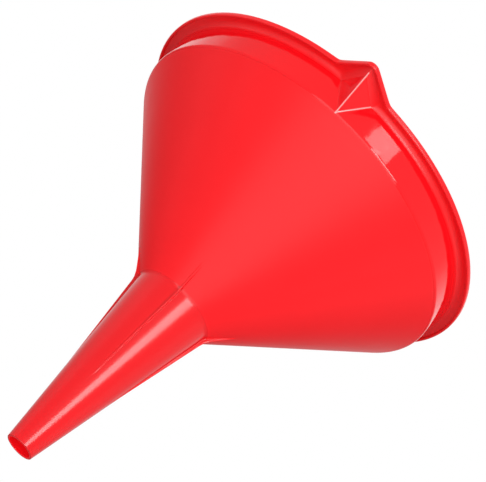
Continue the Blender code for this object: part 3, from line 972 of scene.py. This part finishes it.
CAMERA_AIM = Vector((50.297, 7.676, 164.281))  # millimetres from the outlet's centre
CAMERA_DISTANCE = 1000.0
CAMERA_AZIMUTH = 9.171  # from +X towards +Y
CAMERA_ELEVATION = -27.821
CAMERA_ROLL = 47.487
CAMERA_LENS = 129.135
SENSOR_WIDTH = 36.0
NEAR_CLIP = 0.05


def direction(azimuth, elevation):
    turn = math.radians(azimuth)
    tilt = math.radians(elevation)
    return Vector((math.cos(turn) * math.cos(tilt), math.sin(turn) * math.cos(tilt), math.sin(tilt)))


def pale_floor():
    """A wide pale floor that fades to white further out. It's clear from below, because the
    camera looks up at the funnel from under the level of the outlet."""
    shape = bmesh.new()
    bmesh.ops.create_circle(shape, cap_ends=True, segments=FLOOR_SIDES, radius=FLOOR_RADIUS)
    bmesh.ops.translate(shape, verts=shape.verts, vec=(0, 0, -FLOOR_DROP))
    mesh = bpy.data.meshes.new("floor")
    shape.to_mesh(mesh)
    shape.free()
    floor = bpy.data.objects.new("floor", mesh)
    bpy.context.scene.collection.objects.link(floor)
    nodes = Nodes("pale_floor")
    nodes.surface(
        Base_Color=nodes.tint(nodes.noise(FLOOR_SPECK_SIZE, 4.0), *FLOOR_GREYS),
        Roughness=FLOOR_ROUGHNESS,
        Specular_IOR_Level=FLOOR_SHINE,
    )
    away = nodes.add("VectorMath", "LENGTH", i0=nodes.place()).outputs["Value"]
    span = FLOOR_FADE_END - FLOOR_FADE_START
    fade = nodes.math("DIVIDE", nodes.math("SUBTRACT", away, FLOOR_FADE_START), span, True)
    white = nodes.add("Emission", Color=WHITE, Strength=1.0).outputs[0]
    faded = nodes.add("MixShader", i0=fade, i1=nodes.shader.outputs[0], i2=white).outputs[0]
    under = nodes.add("NewGeometry").outputs["Backfacing"]
    clear = nodes.add("BsdfTransparent").outputs[0]
    shown = nodes.add("MixShader", i0=under, i1=faded, i2=clear).outputs[0]
    nodes.feed(nodes.output.inputs["Surface"], shown)
    mesh.materials.append(nodes.material)
    floor.visible_diffuse = False
    floor.visible_glossy = False
    floor.visible_shadow = False


def studio_world():
    """White to the camera. As light, brighter behind the funnel than on the camera's side."""
    world = bpy.data.worlds.new("studio")
    world.use_nodes = True
    bpy.context.scene.world = world
    tree = world.node_tree
    new = tree.nodes.new
    background = tree.nodes["Background"]
    background.inputs["Color"].default_value = WHITE
    towards = new("ShaderNodeTexCoord").outputs["Generated"]
    facing = new("ShaderNodeVectorMath")
    facing.operation = "DOT_PRODUCT"
    facing.inputs[1].default_value = -direction(CAMERA_AZIMUTH, 0.0)
    tree.links.new(towards, facing.inputs[0])
    split = new("ShaderNodeSeparateXYZ")
    tree.links.new(towards, split.inputs[0])
    back = new("ShaderNodeMapRange")
    back.interpolation_type = "SMOOTHSTEP"
    back.inputs["From Min"].default_value = WALL_START
    back.inputs["From Max"].default_value = WALL_FULL
    back.inputs["To Min"].default_value = TABLE_LIGHT
    back.inputs["To Max"].default_value = WALL_LIGHT
    tree.links.new(split.outputs["Z"], back.inputs["Value"])
    ramp = new("ShaderNodeMapRange")
    ramp.interpolation_type = "SMOOTHSTEP"
    ramp.inputs["From Min"].default_value = BACK_START
    ramp.inputs["From Max"].default_value = BACK_FULL
    ramp.inputs["To Min"].default_value = FRONT_LIGHT
    tree.links.new(back.outputs["Result"], ramp.inputs["To Max"])
    tree.links.new(facing.outputs["Value"], ramp.inputs["Value"])
    path = new("ShaderNodeLightPath")
    pick = new("ShaderNodeMix")
    pick.inputs[3].default_value = 1.0
    tree.links.new(path.outputs["Is Camera Ray"], pick.inputs[0])
    tree.links.new(ramp.outputs["Result"], pick.inputs[2])
    tree.links.new(pick.outputs[0], background.inputs["Strength"])


def softbox(name, azimuth, elevation, distance, width, height, radiance, reflected=True):
    """A rectangular lamp that faces the middle of the funnel from a distance in metres."""
    lamp = bpy.data.lights.new(name, "AREA")
    lamp.shape = "RECTANGLE"
    lamp.size = width
    lamp.size_y = height
    lamp.energy = radiance * math.pi * width * height
    holder = bpy.data.objects.new(name, lamp)
    centre = Vector((AXIS_X, 0, HEIGHT / 2)) * MM
    away = direction(azimuth, elevation)
    holder.location = centre + away * distance
    holder.rotation_euler = away.to_track_quat("Z", "Y").to_euler()
    holder.visible_camera = False
    holder.visible_glossy = reflected
    bpy.context.scene.collection.objects.link(holder)


def camera():
    """Looks up at the funnel from the +X side, rolled so that the nozzle points down to the left."""
    lens = bpy.data.cameras.new("camera")
    lens.sensor_width = SENSOR_WIDTH
    lens.lens = CAMERA_LENS
    lens.clip_start = NEAR_CLIP
    eye = bpy.data.objects.new("camera", lens)
    back = direction(CAMERA_AZIMUTH, CAMERA_ELEVATION)
    level = direction(CAMERA_AZIMUTH + 90.0, 0.0)
    upright = back.cross(level)
    roll = math.radians(CAMERA_ROLL)
    right = level * math.cos(roll) + upright * math.sin(roll)
    up = back.cross(right)
    place = (Vector((AXIS_X, 0, 0)) + CAMERA_AIM + back * CAMERA_DISTANCE) * MM
    turn = Matrix((right, up, back)).transposed()
    eye.matrix_world = Matrix.Translation(place) @ turn.to_4x4()
    bpy.context.scene.collection.objects.link(eye)
    bpy.context.scene.camera = eye


def studio_lamps():
    """Lamps that show in the gloss, then soft fills that don't."""
    softbox("key_top", 22.0, 37.0, 1.36, 0.36, 0.2, 4.0)
    softbox("key_middle", 22.0, 21.0, 1.35, 0.13, 0.6, 4.0)
    softbox("key_low", 28.5, -3.0, 1.3, 0.5, 0.7, 7.0)
    softbox("low_front", 8.0, -48.0, 2.0, 2.2, 2.4, 1.25)
    softbox("fill_front", 10.0, -10.0, 2.0, 1.6, 1.6, 1.2, reflected=False)
    softbox("fill_left", -80.0, 0.0, 2.0, 1.6, 1.6, 2.0, reflected=False)
    softbox("fill_right", 100.0, 0.0, 2.0, 1.6, 1.6, 1.7, reflected=False)
    softbox("fill_top", 0.0, 88.0, 2.0, 2.0, 2.0, 2.6, reflected=False)


def main():
    moulded_funnel(red_plastic())
    black = black_plastic()
    moulded_strainer(black)
    clip_ring(black)
    woven_gauze(brass_wire())
    pale_floor()
    studio_world()
    studio_lamps()
    camera()
    bpy.context.scene.view_settings.view_transform = "Standard"


main()
